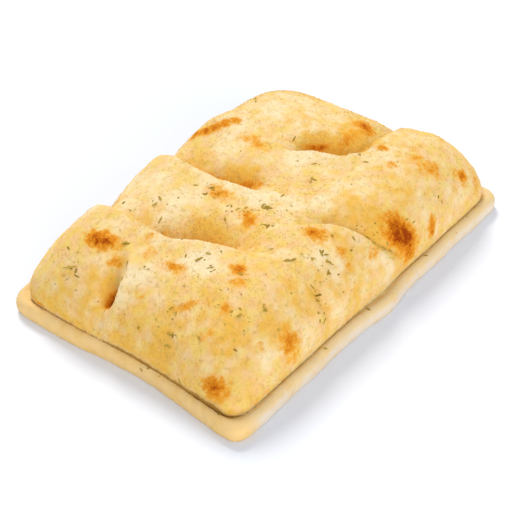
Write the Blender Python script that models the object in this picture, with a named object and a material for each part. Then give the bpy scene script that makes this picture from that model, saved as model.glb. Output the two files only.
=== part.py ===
"""Rosemary focaccia: one flat loaf with a low rim, a crease all round and a puffed, dimpled top.

Metres, +Z up. The origin is the middle of the flat underside, and +X runs along the loaf.
"""
import math
import random

import bmesh
import bpy
import numpy as np
from mathutils import Matrix, Vector, noise
from mathutils.bvhtree import BVHTree

# Driving sizes of the loaf
LENGTH = 0.150
WIDTH = 0.1024
RIM_HEIGHT = 0.0062
CROWN_HEIGHT = 0.0244

# Plan: the loaf is a little wider at its far end and a little out of square
TAPER = 0.028
SKEW = math.radians(2.3)
BASE_CORNER = 0.0058
CREASE_CORNER = 0.0085

# Powers that keep a change near the ends, near the edges or near the crown's outer part
ALONG_END = 6
ALONG_EDGE = 8
NEAR_EDGE = 3

# The near end is bowed inwards, its right corner sticks out and the near side bulges at its middle
END_BOW = 0.0025
CREASE_BOW = 0.0009
BOW_CENTRE = -0.16
BOW_REACH = 0.42
CORNER_FLARE = 0.0011
SIDE_BULGE = 0.0018
SIDE_BULGE_CENTRE = 0.0015
SIDE_BULGE_REACH = 0.0085
BULGE_FADE = 0.6

# Rim, seen in section: it leaves the flat underside, rounds over and dips into the crease
FOOT_ROUND = 0.0006
RIM_ROUND = 0.0023
RIM_LEVELS_SHARE = 0.72
CREASE_DEPTH = 0.0012
CREASE_STEEPNESS = 1.5
NEAR_LEDGE = 0.0031
FAR_LEDGE = 0.0028
SIDE_LEDGE = 0.0035
RIM_WAVE = 0.0006
RIM_WAVE_SPAN = 0.018

# Crown: how far in from the crease it rises, and how far its near and far walls swell outwards
END_REACH = 0.0333
SIDE_REACH = 0.0210
CROWN_POWER = 1.94
NEAR_SWELL = 0.0014
FAR_SWELL = 0.0032
FURROW_RISE = 0.625
UNEVENNESS = 0.0006
UNEVENNESS_SPAN = 0.014

# Furrows pressed by fingers: steep near side, gentle far side, then points as x, y and depth.
# The steep side lies to the right of the way the points run.
FURROWS = (
    (0.0032, 0.0080, ((-0.0668, 0.0092, 0.0030), (-0.0634, 0.0104, 0.0082), (-0.0590, 0.0110, 0.0046),
                      (-0.0545, 0.0140, 0.0008))),
    (0.0052, 0.0170, ((-0.0265, 0.0505, 0.0045), (-0.0372, 0.0305, 0.0040), (-0.0374, 0.0150, 0.0050),
                      (-0.0374, 0.0040, 0.0085), (-0.0336, -0.0035, 0.0090), (-0.0310, -0.0115, 0.0065),
                      (-0.0302, -0.0220, 0.0020))),
    (0.0050, 0.0160, ((0.0068, 0.0495, 0.0012), (-0.0026, 0.0362, 0.0038), (-0.0043, 0.0215, 0.0066),
                      (-0.0042, 0.0118, 0.0105), (-0.0020, 0.0056, 0.0085), (-0.0018, -0.0020, 0.0020))),
    (0.0048, 0.0120, ((0.0236, 0.0042, 0.0030), (0.0282, -0.0020, 0.0090), (0.0311, -0.0098, 0.0080),
                      (0.0358, -0.0146, 0.0050), (0.0493, -0.0142, 0.0035), (0.0700, -0.0115, 0.0025))),
    (0.0038, 0.0100, ((-0.0120, -0.0225, 0.0010), (-0.0035, -0.0285, 0.0040), (0.0003, -0.0337, 0.0045),
                      (0.0030, -0.0374, 0.0045), (0.0055, -0.0415, 0.0040), (0.0140, -0.0474, 0.0030))),
    (0.0030, 0.0050, ((-0.0298, -0.0350, 0.0006), (-0.0280, -0.0410, 0.0024), (-0.0278, -0.0450, 0.0024),
                      (-0.0281, -0.0476, 0.0015))),
)
LIP_SHARE = 0.12
LIP_REACH = 0.0040
EDGE_PULL = 0.45

# Swells of the crown between the furrows: x, y, height, reach along X, reach along Y
SWELLS = (
    (-0.0500, -0.0150, 0.0010, 0.016, 0.020),
    (-0.0420, 0.0300, 0.0012, 0.010, 0.014),
    (-0.0100, 0.0250, 0.0012, 0.010, 0.016),
    (0.0320, 0.0250, 0.0020, 0.016, 0.018),
    (0.0200, 0.0380, 0.0040, 0.010, 0.010),
    (0.0650, -0.0330, 0.0064, 0.013, 0.017),
    (-0.0090, 0.0400, 0.0035, 0.010, 0.010),
    (-0.0560, 0.0350, 0.0020, 0.014, 0.014),
    (0.0020, -0.0080, -0.0010, 0.012, 0.012),
    (0.0209, -0.0158, -0.0016, 0.007, 0.005),
)

# Mesh density: faces along, across and up the rim, and samples along a side of the outline
FACES_ALONG = 54
FACES_ACROSS = 36
FACES_UP = 8
EDGE_CROWDING = 1.5
OUTLINE_SAMPLES = 201

# Rosemary: broken dried needles in small groups, each as x, y, spread, count and longest needle
NEEDLE_SEED = 21
NEEDLE_WIDTH = 0.0008
NEEDLE_HEIGHT = 0.00065
NEEDLE_SIDES = 5
NEEDLE_RINGS = 4
ABOVE_LOAF = 0.1
SHORTEST_NEEDLE = 0.0011
FARTHEST_STRAY = 1.6
STEEPEST_TILT = 0.12
NEEDLE_GROUPS = (
    (-0.0636, 0.0278, 0.0003, 1, 0.0060),
    (-0.0655, 0.0275, 0.0020, 4, 0.0024),
    (-0.0605, 0.0312, 0.0010, 2, 0.0020),
    (-0.0555, 0.0102, 0.0003, 1, 0.0020),
    (-0.0592, 0.0100, 0.0005, 1, 0.0018),
    (-0.0504, 0.0165, 0.0010, 2, 0.0030),
    (-0.0678, -0.0050, 0.0006, 1, 0.0024),
    (-0.0676, -0.0165, 0.0012, 4, 0.0026),
    (-0.0650, -0.0140, 0.0022, 3, 0.0018),
    (-0.0650, -0.0266, 0.0004, 1, 0.0024),
    (-0.0450, -0.0075, 0.0022, 3, 0.0036),
    (-0.0475, -0.0150, 0.0014, 2, 0.0028),
    (-0.0429, -0.0248, 0.0004, 1, 0.0018),
    (-0.0266, -0.0239, 0.0004, 1, 0.0016),
    (-0.0530, -0.0322, 0.0012, 3, 0.0022),
    (-0.0622, -0.0372, 0.0004, 1, 0.0018),
    (-0.0472, -0.0372, 0.0014, 3, 0.0018),
    (-0.0480, -0.0429, 0.0004, 1, 0.0017),
    (-0.0276, 0.0216, 0.0012, 3, 0.0026),
    (-0.0325, 0.0160, 0.0008, 1, 0.0030),
    (-0.0327, 0.0319, 0.0004, 1, 0.0016),
    (-0.0158, 0.0095, 0.0015, 5, 0.0026),
    (-0.0148, 0.0156, 0.0005, 1, 0.0019),
    (-0.0066, 0.0098, 0.0004, 1, 0.0016),
    (-0.0163, -0.0020, 0.0016, 4, 0.0022),
    (-0.0234, -0.0022, 0.0005, 1, 0.0019),
    (-0.0104, -0.0096, 0.0012, 4, 0.0034),
    (-0.0024, -0.0109, 0.0006, 1, 0.0025),
    (-0.0182, -0.0155, 0.0014, 4, 0.0028),
    (-0.0280, -0.0314, 0.0008, 2, 0.0034),
    (-0.0218, -0.0348, 0.0008, 2, 0.0019),
    (-0.0163, -0.0368, 0.0012, 4, 0.0027),
    (-0.0184, -0.0404, 0.0011, 4, 0.0022),
    (-0.0100, -0.0400, 0.0034, 2, 0.0016),
    (-0.0284, -0.0422, 0.0013, 3, 0.0027),
    (-0.0305, -0.0459, 0.0009, 3, 0.0031),
    (-0.0040, -0.0397, 0.0005, 1, 0.0022),
    (0.0040, -0.0398, 0.0012, 3, 0.0024),
    (0.0090, -0.0433, 0.0014, 3, 0.0018),
    (-0.0031, -0.0279, 0.0004, 1, 0.0016),
    (0.0112, -0.0120, 0.0008, 2, 0.0028),
    (0.0189, -0.0091, 0.0008, 1, 0.0023),
    (0.0273, 0.0080, 0.0006, 1, 0.0031),
    (0.0375, 0.0295, 0.0030, 2, 0.0023),
    (0.0305, -0.0190, 0.0036, 2, 0.0021),
    (0.0225, -0.0442, 0.0010, 2, 0.0018),
    (0.0409, -0.0453, 0.0011, 2, 0.0018),
    (-0.0722, -0.0080, 0.0003, 1, 0.0018),
    (-0.0728, -0.0240, 0.0003, 1, 0.0020),
    (-0.0735, -0.0395, 0.0006, 2, 0.0018),
    (-0.0330, -0.0492, 0.0003, 1, 0.0016),
    (-0.0095, -0.0495, 0.0003, 1, 0.0018),
    (0.0250, -0.0502, 0.0003, 1, 0.0016),
)

CRUST_COLOUR = (0.90, 0.70, 0.38, 1.0)
CRUST_ROUGHNESS = 0.75
NEEDLE_COLOUR = (0.10, 0.11, 0.04, 1.0)
NEEDLE_ROUGHNESS = 0.8
SHARP_ANGLE = math.radians(60)


def half_sizes(a, near_inset, far_inset, side_inset):
    """Half length and half width of the outline drawn in from the near end, far end and sides."""
    return LENGTH / 2 - np.where(a < 0, near_inset, far_inset), WIDTH / 2 - side_inset


def plan(a, b, half_x, half_y, corner, bow):
    """Place the square -1 to 1 on an outline with rounded corners and a near end bowed inwards."""
    diagonal = corner * (1 - math.sqrt(0.5))
    cut_x = 1 - ((half_x - diagonal) / half_x) ** 2
    cut_y = 1 - ((half_y - diagonal) / half_y) ** 2
    x = half_x * a * np.sqrt(1 - cut_x * np.abs(b) ** (half_y / diagonal))
    y = half_y * b * np.sqrt(1 - cut_y * np.abs(a) ** (half_x / diagonal))
    near = np.clip(-a, 0, 1) ** ALONG_END
    x = x + bow * near * np.exp(-((b - BOW_CENTRE) / BOW_REACH) ** 2)
    return x - CORNER_FLARE * near * np.clip(-b, 0, 1) ** ALONG_END, y


def warp(x, y):
    """Widen the plan towards its far end and lean it out of square."""
    y = y * (1 + TAPER * x / (LENGTH / 2))
    return x + math.tan(SKEW) * y, y


def quarter_rise(distance, reach):
    """A rounded step from 0 to 1 that leaves the edge upright."""
    t = np.clip(distance / reach, 0, 1)
    return (1 - (1 - t) ** CROWN_POWER) ** (1 / CROWN_POWER)


def furrow_depth(x, y):
    """Depth of the finger furrows at each point of the plan, below zero on their raised near lips."""
    deepest = np.zeros_like(x)
    lip = np.zeros_like(x)
    for near_width, far_width, points in FURROWS:
        for (x0, y0, depth0), (x1, y1, depth1) in zip(points, points[1:]):
            along_x, along_y = x1 - x0, y1 - y0
            run = along_x ** 2 + along_y ** 2
            t = np.clip(((x - x0) * along_x + (y - y0) * along_y) / run, 0, 1)
            off_x, off_y = x - x0 - t * along_x, y - y0 - t * along_y
            distance = np.hypot(off_x, off_y)
            near = off_x * along_y - off_y * along_x > 0
            near_fall = np.clip(1 - distance / near_width, 0, 1)
            far_fall = np.clip(1 - distance / far_width, 0, 1) ** 2
            depth = depth0 + (depth1 - depth0) * t
            deepest = np.maximum(deepest, depth * np.where(near, near_fall, far_fall))
            bank = np.exp(-((distance - near_width) / LIP_REACH) ** 2)
            lip = np.maximum(lip, LIP_SHARE * depth * bank * near)
    return deepest - lip


def swell_height(x, y):
    """Height of the soft swells between the furrows."""
    total = np.zeros_like(x)
    for centre_x, centre_y, height, reach_x, reach_y in SWELLS:
        total += height * np.exp(-((x - centre_x) / reach_x) ** 2 - ((y - centre_y) / reach_y) ** 2)
    return total


def waviness(x, y, z, span):
    """Smooth noise from -1 to 1 at each point, with bumps about one span across."""
    return np.array([noise.noise(Vector(p) / span) for p in zip(x, y, z)])


def rim_points(a, b, level):
    """Rim from the underside (level 0), over its rounded face, down into the crease (level 1)."""
    turn = np.clip(level / RIM_LEVELS_SHARE, 0, 1) * math.pi - math.pi / 2
    dip = np.clip((level - RIM_LEVELS_SHARE) / (1 - RIM_LEVELS_SHARE), 0, 1)
    rounding = np.where(turn < 0, FOOT_ROUND, RIM_ROUND) * (1 - np.cos(turn))
    insets = [rounding + (ledge - RIM_ROUND) * dip for ledge in (NEAR_LEDGE, FAR_LEDGE, SIDE_LEDGE)]
    z = RIM_HEIGHT / 2 * (1 + np.sin(turn)) - CREASE_DEPTH * dip ** CREASE_STEEPNESS
    corner = BASE_CORNER + (CREASE_CORNER - BASE_CORNER) * dip
    x, y = plan(a, b, *half_sizes(a, *insets), corner, END_BOW + (CREASE_BOW - END_BOW) * dip)
    wave = RIM_WAVE * waviness(x, y, 0 * z, RIM_WAVE_SPAN) * (1 - dip)
    bulge = SIDE_BULGE * np.exp(-((x - SIDE_BULGE_CENTRE) / SIDE_BULGE_REACH) ** 2)
    y = y - bulge * (1 - BULGE_FADE * dip) * np.clip(-b, 0, 1) ** ALONG_EDGE
    x, y = warp(x + wave * np.abs(a) ** ALONG_EDGE * a, y + wave * np.abs(b) ** ALONG_EDGE * b)
    return x, y, z


def crown_points(a, b):
    """Puffed top, from the crease at its edge to the pillows and furrows in its middle."""
    half_x, half_y = half_sizes(a, NEAR_LEDGE, FAR_LEDGE, SIDE_LEDGE)
    x, y = plan(a, b, half_x, half_y, CREASE_CORNER, CREASE_BOW)
    end_rise = quarter_rise((1 - np.abs(a)) * half_x, END_REACH)
    side_rise = quarter_rise((1 - np.abs(b)) * half_y, SIDE_REACH)
    rise = end_rise * side_rise
    foot = RIM_HEIGHT - CREASE_DEPTH
    wall = np.sin(math.pi * np.clip(rise, 0, 1))
    warped_x, warped_y = warp(x, y)
    cut = furrow_depth(warped_x, warped_y) * np.clip(rise / FURROW_RISE, 0, 1)
    pull = EDGE_PULL * cut
    x = x + (np.where(a < 0, NEAR_SWELL, FAR_SWELL) - pull) * wall * a * np.abs(a) ** NEAR_EDGE
    y = y + (np.where(b < 0, NEAR_SWELL, FAR_SWELL) - pull) * wall * b * np.abs(b) ** NEAR_EDGE
    x, y = warp(x, y)
    height = (CROWN_HEIGHT + CREASE_DEPTH) * rise
    bumps = UNEVENNESS * waviness(x, y, height, UNEVENNESS_SPAN) + swell_height(x, y)
    return x, y, foot + height - cut + bumps * rise


def outline_middle():
    """Middle of the loaf's outermost outline, which becomes the origin."""
    side = np.linspace(-1, 1, OUTLINE_SAMPLES)
    one = np.ones_like(side)
    a = np.concatenate((side, side, one, -one))
    b = np.concatenate((one, -one, side, side))
    x, y, _ = rim_points(a, b, np.full_like(a, RIM_LEVELS_SHARE / 2))
    return (x.min() + x.max()) / 2, (y.min() + y.max()) / 2


def crowd(a):
    """Move evenly spaced lines towards the edges, where the crown is steep."""
    return np.sign(a) * (1 - (1 - np.abs(a)) ** EDGE_CROWDING)


def grid_cube(name, cuts):
    """A cube from -1 to 1 whose edges along X, Y and Z are divided into the given faces."""
    mesh = bpy.data.meshes.new(name)
    bm = bmesh.new()
    bmesh.ops.create_cube(bm, size=2.0)
    for axis, faces in enumerate(cuts):
        along = [e for e in bm.edges if abs((e.verts[0].co - e.verts[1].co)[axis]) > 1]
        bmesh.ops.subdivide_edges(bm, edges=along, cuts=faces - 1, use_grid_fill=True)
    under = [f for f in bm.faces if f.normal.z < -0.5]
    bmesh.ops.dissolve_faces(bm, faces=under, use_verts=False)
    loose = [v for v in bm.verts if not v.link_faces]
    bmesh.ops.delete(bm, geom=loose, context="VERTS")
    bm.to_mesh(mesh)
    bm.free()
    return mesh


def add_material(mesh, name, colour, roughness):
    """Give the mesh one Principled material."""
    material = bpy.data.materials.new(name)
    material.use_nodes = True
    shader = material.node_tree.nodes["Principled BSDF"]
    shader.inputs["Base Color"].default_value = colour
    shader.inputs["Roughness"].default_value = roughness
    shader.inputs["Metallic"].default_value = 0.0
    mesh.materials.append(material)


def make_loaf(collection):
    """The bare loaf as one closed mesh."""
    mesh = grid_cube("focaccia", (FACES_ALONG, FACES_ACROSS, FACES_UP))
    count = len(mesh.vertices)
    cube = np.empty(count * 3, dtype=np.float32)
    mesh.vertices.foreach_get("co", cube)
    a, b, c = cube.reshape(count, 3).astype(float).T
    a, b = crowd(a), crowd(b)
    level = (c + 1) / 2
    on_rim = np.isclose(np.maximum(np.abs(a), np.abs(b)), 1)
    rim = rim_points(a, b, level)
    crown = crown_points(a, b)
    middle_x, middle_y = outline_middle()
    placed = np.where(on_rim, rim, crown)
    placed[0] -= middle_x
    placed[1] -= middle_y
    mesh.vertices.foreach_set("co", placed.T.astype(np.float32).ravel())
    mesh.update()
    add_material(mesh, "crust", CRUST_COLOUR, CRUST_ROUGHNESS)
    loaf = bpy.data.objects.new("focaccia", mesh)
    collection.objects.link(loaf)
    return loaf


def needle_places():
    """Seeded draws: where each needle lies in plan, how long it is and which way it points."""
    draw = random.Random(NEEDLE_SEED)
    places = []
    for centre_x, centre_y, spread, count, longest in NEEDLE_GROUPS:
        length = longest
        for _ in range(count):
            stray_x, stray_y = draw.gauss(0, 1), draw.gauss(0, 1)
            x = centre_x + max(-FARTHEST_STRAY, min(FARTHEST_STRAY, stray_x)) * spread
            y = centre_y + max(-FARTHEST_STRAY, min(FARTHEST_STRAY, stray_y)) * spread
            heading = draw.uniform(0, math.pi)
            places.append((x, y, length, heading, draw.uniform(-STEEPEST_TILT, STEEPEST_TILT)))
            length = draw.uniform(SHORTEST_NEEDLE, longest)
    return places


def make_needles(loaf, collection):
    """Rosemary needles lying half sunk in the crown."""
    surface = BVHTree.FromPolygons([v.co for v in loaf.data.vertices],
                                   [tuple(p.vertices) for p in loaf.data.polygons])
    for number, (x, y, length, heading, tilt) in enumerate(needle_places()):
        place, normal, _, _ = surface.ray_cast(Vector((x, y, ABOVE_LOAF)), Vector((0, 0, -1)))
        if place is None:
            continue
        forward = Vector((math.cos(heading), math.sin(heading), 0))
        forward = (forward - normal * forward.dot(normal)).normalized()
        forward = (forward + normal * tilt).normalized()
        side = normal.cross(forward).normalized()
        upward = forward.cross(side)
        bm = bmesh.new()
        bmesh.ops.create_uvsphere(bm, u_segments=NEEDLE_SIDES, v_segments=NEEDLE_RINGS, radius=0.5)
        turn = Matrix((upward, side, -forward)).transposed().to_4x4()
        size = Matrix.Diagonal((NEEDLE_HEIGHT, NEEDLE_WIDTH, length, 1))
        bmesh.ops.transform(bm, matrix=Matrix.Translation(place) @ turn @ size, verts=bm.verts)
        bmesh.ops.recalc_face_normals(bm, faces=bm.faces)
        mesh = bpy.data.meshes.new(f"needle_{number}")
        bm.to_mesh(mesh)
        bm.free()
        add_material(mesh, "rosemary", NEEDLE_COLOUR, NEEDLE_ROUGHNESS)
        collection.objects.link(bpy.data.objects.new(mesh.name, mesh))


def drop_scraps(mesh):
    """Keep the largest connected body of the mesh and delete any other."""
    bm = bmesh.new()
    bm.from_mesh(mesh)
    waiting = set(bm.verts)
    bodies = []
    while waiting:
        body, edge_of_body = set(), [waiting.pop()]
        while edge_of_body:
            vert = edge_of_body.pop()
            body.add(vert)
            fresh = [e.other_vert(vert) for e in vert.link_edges if e.other_vert(vert) in waiting]
            waiting.difference_update(fresh)
            edge_of_body.extend(fresh)
        bodies.append(body)
    largest = max(bodies, key=len)
    scraps = [v for v in bm.verts if v not in largest]
    bmesh.ops.delete(bm, geom=scraps, context="VERTS")
    bm.to_mesh(mesh)
    bm.free()


def fuse(loaf, toppings):
    """Join the needles to the loaf with one Boolean union and drop what stays loose."""
    union = loaf.modifiers.new("toppings", "BOOLEAN")
    union.operation = "UNION"
    union.operand_type = "COLLECTION"
    union.collection = toppings
    union.solver = "EXACT"
    union.material_mode = "TRANSFER"
    graph = bpy.context.evaluated_depsgraph_get()
    fused = bpy.data.meshes.new_from_object(loaf.evaluated_get(graph))
    drop_scraps(fused)
    loaf.modifiers.clear()
    loaf.data = fused
    for topping in list(toppings.objects):
        bpy.data.objects.remove(topping)
    bpy.data.collections.remove(toppings)


def main():
    for old in list(bpy.data.objects):
        bpy.data.objects.remove(old)
    parts = bpy.data.collections.new("rosemary focaccia")
    toppings = bpy.data.collections.new("needles")
    bpy.context.scene.collection.children.link(parts)
    bpy.context.scene.collection.children.link(toppings)
    loaf = make_loaf(parts)
    make_needles(loaf, toppings)
    fuse(loaf, toppings)
    loaf.data.shade_smooth()
    loaf.data.set_sharp_from_angle(angle=SHARP_ANGLE)


main()
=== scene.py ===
"""Rosemary focaccia: the baked crust, its dried rosemary and its fine pale grains, on a plain white stage.

The loaf's form follows the same named sizes and rules as the solid, at a finer mesh. Metres, +Z up.
"""
import math
import random
from functools import partial

import bmesh
import bpy
import numpy as np
from bpy.props import FloatProperty, FloatVectorProperty, IntProperty, PointerProperty
from mathutils import Matrix, Vector, noise


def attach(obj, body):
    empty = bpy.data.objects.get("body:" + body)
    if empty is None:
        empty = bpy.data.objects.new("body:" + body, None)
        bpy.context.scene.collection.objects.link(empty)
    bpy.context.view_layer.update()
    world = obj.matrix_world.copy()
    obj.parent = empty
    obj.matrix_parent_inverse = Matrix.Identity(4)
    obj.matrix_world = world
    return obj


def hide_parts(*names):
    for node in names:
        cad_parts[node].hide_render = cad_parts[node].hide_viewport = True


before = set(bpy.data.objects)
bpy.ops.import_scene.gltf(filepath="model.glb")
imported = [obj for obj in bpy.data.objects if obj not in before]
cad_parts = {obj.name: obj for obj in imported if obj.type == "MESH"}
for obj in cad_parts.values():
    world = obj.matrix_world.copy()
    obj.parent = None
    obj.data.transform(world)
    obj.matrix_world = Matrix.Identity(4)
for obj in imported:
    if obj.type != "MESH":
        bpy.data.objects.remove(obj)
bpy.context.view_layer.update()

bl_info = {
    "name": "Rosemary Focaccia",
    "version": (1, 0, 0),
    "blender": (4, 5, 0),
    "location": "View3D > Sidebar > Focaccia",
    "description": "Builds a puffed rosemary focaccia with browned crust, herbs and a photo stage",
    "category": "Object",
}

BODY = "root"
NODE = "focaccia"

# Driving sizes of the loaf
LENGTH = 0.150
WIDTH = 0.1024
RIM_HEIGHT = 0.0062
CROWN_HEIGHT = 0.0244

# Plan: the loaf is a little wider at its far end and a little out of square
TAPER = 0.028
SKEW = math.radians(2.3)
BASE_CORNER = 0.0058
CREASE_CORNER = 0.0085

# Powers that keep a change near the ends, near the edges or near the crown's outer part
ALONG_END = 6
ALONG_EDGE = 8
NEAR_EDGE = 3

# The near end is bowed inwards, its right corner sticks out and the near side bulges at its middle
END_BOW = 0.0025
CREASE_BOW = 0.0009
BOW_CENTRE = -0.16
BOW_REACH = 0.42
CORNER_FLARE = 0.0011
SIDE_BULGE = 0.0018
SIDE_BULGE_CENTRE = 0.0015
SIDE_BULGE_REACH = 0.0085
BULGE_FADE = 0.6

# Rim, seen in section: it leaves the flat underside, rounds over and dips into the crease
FOOT_ROUND = 0.0006
RIM_ROUND = 0.0023
RIM_LEVELS_SHARE = 0.72
CREASE_DEPTH = 0.0012
CREASE_STEEPNESS = 1.5
NEAR_LEDGE = 0.0031
FAR_LEDGE = 0.0028
SIDE_LEDGE = 0.0035
RIM_WAVE = 0.0006
RIM_WAVE_SPAN = 0.018

# Crown: how far in from the crease it rises, and how far its near and far walls swell outwards
END_REACH = 0.0333
SIDE_REACH = 0.0210
CROWN_POWER = 1.94
NEAR_SWELL = 0.0014
FAR_SWELL = 0.0032
FURROW_RISE = 0.625
UNEVENNESS = 0.0006
UNEVENNESS_SPAN = 0.014

# Furrows pressed by fingers: steep near side, gentle far side, then points as x, y and depth.
# The steep side lies to the right of the way the points run.
FURROWS = (
    (0.0032, 0.0080, ((-0.0668, 0.0092, 0.0030), (-0.0634, 0.0104, 0.0082), (-0.0590, 0.0110, 0.0046),
                      (-0.0545, 0.0140, 0.0008))),
    (0.0052, 0.0170, ((-0.0265, 0.0505, 0.0045), (-0.0372, 0.0305, 0.0040), (-0.0374, 0.0150, 0.0050),
                      (-0.0374, 0.0040, 0.0085), (-0.0336, -0.0035, 0.0090), (-0.0310, -0.0115, 0.0065),
                      (-0.0302, -0.0220, 0.0020))),
    (0.0050, 0.0160, ((0.0068, 0.0495, 0.0012), (-0.0026, 0.0362, 0.0038), (-0.0043, 0.0215, 0.0066),
                      (-0.0042, 0.0118, 0.0105), (-0.0020, 0.0056, 0.0085), (-0.0018, -0.0020, 0.0020))),
    (0.0048, 0.0120, ((0.0236, 0.0042, 0.0030), (0.0282, -0.0020, 0.0090), (0.0311, -0.0098, 0.0080),
                      (0.0358, -0.0146, 0.0050), (0.0493, -0.0142, 0.0035), (0.0700, -0.0115, 0.0025))),
    (0.0038, 0.0100, ((-0.0120, -0.0225, 0.0010), (-0.0035, -0.0285, 0.0040), (0.0003, -0.0337, 0.0045),
                      (0.0030, -0.0374, 0.0045), (0.0055, -0.0415, 0.0040), (0.0140, -0.0474, 0.0030))),
    (0.0030, 0.0050, ((-0.0298, -0.0350, 0.0006), (-0.0280, -0.0410, 0.0024), (-0.0278, -0.0450, 0.0024),
                      (-0.0281, -0.0476, 0.0015))),
)
LIP_SHARE = 0.12
LIP_REACH = 0.0040
EDGE_PULL = 0.45

# Swells of the crown between the furrows: x, y, height, reach along X, reach along Y
SWELLS = (
    (-0.0500, -0.0150, 0.0010, 0.016, 0.020),
    (-0.0420, 0.0300, 0.0012, 0.010, 0.014),
    (-0.0100, 0.0250, 0.0012, 0.010, 0.016),
    (0.0320, 0.0250, 0.0020, 0.016, 0.018),
    (0.0200, 0.0380, 0.0040, 0.010, 0.010),
    (0.0650, -0.0330, 0.0064, 0.013, 0.017),
    (-0.0090, 0.0400, 0.0035, 0.010, 0.010),
    (-0.0560, 0.0350, 0.0020, 0.014, 0.014),
    (0.0020, -0.0080, -0.0010, 0.012, 0.012),
    (0.0209, -0.0158, -0.0016, 0.007, 0.005),
)

# Rosemary: broken dried needles in small groups, each as x, y, spread, count and longest needle
NEEDLE_SEED = 21
ABOVE_LOAF = 0.1
SHORTEST_NEEDLE = 0.0011
FARTHEST_STRAY = 1.6
STEEPEST_TILT = 0.12
NEEDLE_SIDES = 8
NEEDLE_RINGS = 7
NEEDLE_GROUPS = (
    (-0.0636, 0.0278, 0.0003, 1, 0.0060), (-0.0655, 0.0275, 0.0020, 4, 0.0024),
    (-0.0605, 0.0312, 0.0010, 2, 0.0020), (-0.0555, 0.0102, 0.0003, 1, 0.0020),
    (-0.0592, 0.0100, 0.0005, 1, 0.0018), (-0.0504, 0.0165, 0.0010, 2, 0.0030),
    (-0.0678, -0.0050, 0.0006, 1, 0.0024), (-0.0676, -0.0165, 0.0012, 4, 0.0026),
    (-0.0650, -0.0140, 0.0022, 3, 0.0018), (-0.0650, -0.0266, 0.0004, 1, 0.0024),
    (-0.0450, -0.0075, 0.0022, 3, 0.0036), (-0.0475, -0.0150, 0.0014, 2, 0.0028),
    (-0.0429, -0.0248, 0.0004, 1, 0.0018), (-0.0266, -0.0239, 0.0004, 1, 0.0016),
    (-0.0530, -0.0322, 0.0012, 3, 0.0022), (-0.0622, -0.0372, 0.0004, 1, 0.0018),
    (-0.0472, -0.0372, 0.0014, 3, 0.0018), (-0.0480, -0.0429, 0.0004, 1, 0.0017),
    (-0.0276, 0.0216, 0.0012, 3, 0.0026), (-0.0325, 0.0160, 0.0008, 1, 0.0030),
    (-0.0327, 0.0319, 0.0004, 1, 0.0016), (-0.0158, 0.0095, 0.0015, 5, 0.0026),
    (-0.0148, 0.0156, 0.0005, 1, 0.0019), (-0.0066, 0.0098, 0.0004, 1, 0.0016),
    (-0.0163, -0.0020, 0.0016, 4, 0.0022), (-0.0234, -0.0022, 0.0005, 1, 0.0019),
    (-0.0104, -0.0096, 0.0012, 4, 0.0034), (-0.0024, -0.0109, 0.0006, 1, 0.0025),
    (-0.0182, -0.0155, 0.0014, 4, 0.0028), (-0.0280, -0.0314, 0.0008, 2, 0.0034),
    (-0.0218, -0.0348, 0.0008, 2, 0.0019), (-0.0163, -0.0368, 0.0012, 4, 0.0027),
    (-0.0184, -0.0404, 0.0011, 4, 0.0022), (-0.0100, -0.0400, 0.0034, 2, 0.0016),
    (-0.0284, -0.0422, 0.0013, 3, 0.0027), (-0.0305, -0.0459, 0.0009, 3, 0.0031),
    (-0.0040, -0.0397, 0.0005, 1, 0.0022), (0.0040, -0.0398, 0.0012, 3, 0.0024),
    (0.0090, -0.0433, 0.0014, 3, 0.0018), (-0.0031, -0.0279, 0.0004, 1, 0.0016),
    (0.0112, -0.0120, 0.0008, 2, 0.0028), (0.0189, -0.0091, 0.0008, 1, 0.0023),
    (0.0273, 0.0080, 0.0006, 1, 0.0031), (0.0375, 0.0295, 0.0030, 2, 0.0023),
    (0.0305, -0.0190, 0.0036, 2, 0.0021), (0.0225, -0.0442, 0.0010, 2, 0.0018),
    (0.0409, -0.0453, 0.0011, 2, 0.0018), (-0.0722, -0.0080, 0.0003, 1, 0.0018),
    (-0.0728, -0.0240, 0.0003, 1, 0.0020), (-0.0735, -0.0395, 0.0006, 2, 0.0018),
    (-0.0330, -0.0492, 0.0003, 1, 0.0016), (-0.0095, -0.0495, 0.0003, 1, 0.0018),
    (0.0250, -0.0502, 0.0003, 1, 0.0016),
)

# A needle is bent down at its ends and rolled down at its sides, and has fine streaks
LEAF_BEND = 0.5
LEAF_ROLL = 0.5
STREAK_SPAN = 0.0004
STREAK_DEPTH = 0.0001
STREAK_GAIN = 1.6

# Least and greatest shares of the needles' full width and height
NEEDLE_BREADTH = (0.8, 1)
CRUMB_BREADTH = (0.4, 0.75)

# Herb crumbs too small for the solid, each drift as x, y, spread and count
CRUMB_SEED = 8
LARGEST_CRUMB = 0.0010
SMALLEST_CRUMB_SHARE = 0.35
CRUMB_DRIFTS = (
    (-0.0645, 0.0260, 0.0040, 8), (-0.0600, 0.0060, 0.0050, 4), (-0.0670, -0.0150, 0.0035, 10),
    (-0.0470, -0.0120, 0.0050, 8), (-0.0530, -0.0335, 0.0040, 8), (-0.0290, 0.0200, 0.0040, 6),
    (-0.0160, 0.0100, 0.0025, 6), (-0.0160, -0.0040, 0.0035, 8), (-0.0120, -0.0120, 0.0040, 8),
    (-0.0190, -0.0390, 0.0035, 15), (-0.0290, -0.0435, 0.0020, 7), (0.0060, -0.0410, 0.0035, 8),
    (0.0068, -0.0405, 0.0016, 12), (0.0035, -0.0375, 0.0014, 5), (0.0150, -0.0120, 0.0060, 6),
    (0.0300, -0.0300, 0.0110, 6), (0.0300, 0.0150, 0.0150, 4), (-0.0400, -0.0250, 0.0100, 6),
)

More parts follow.
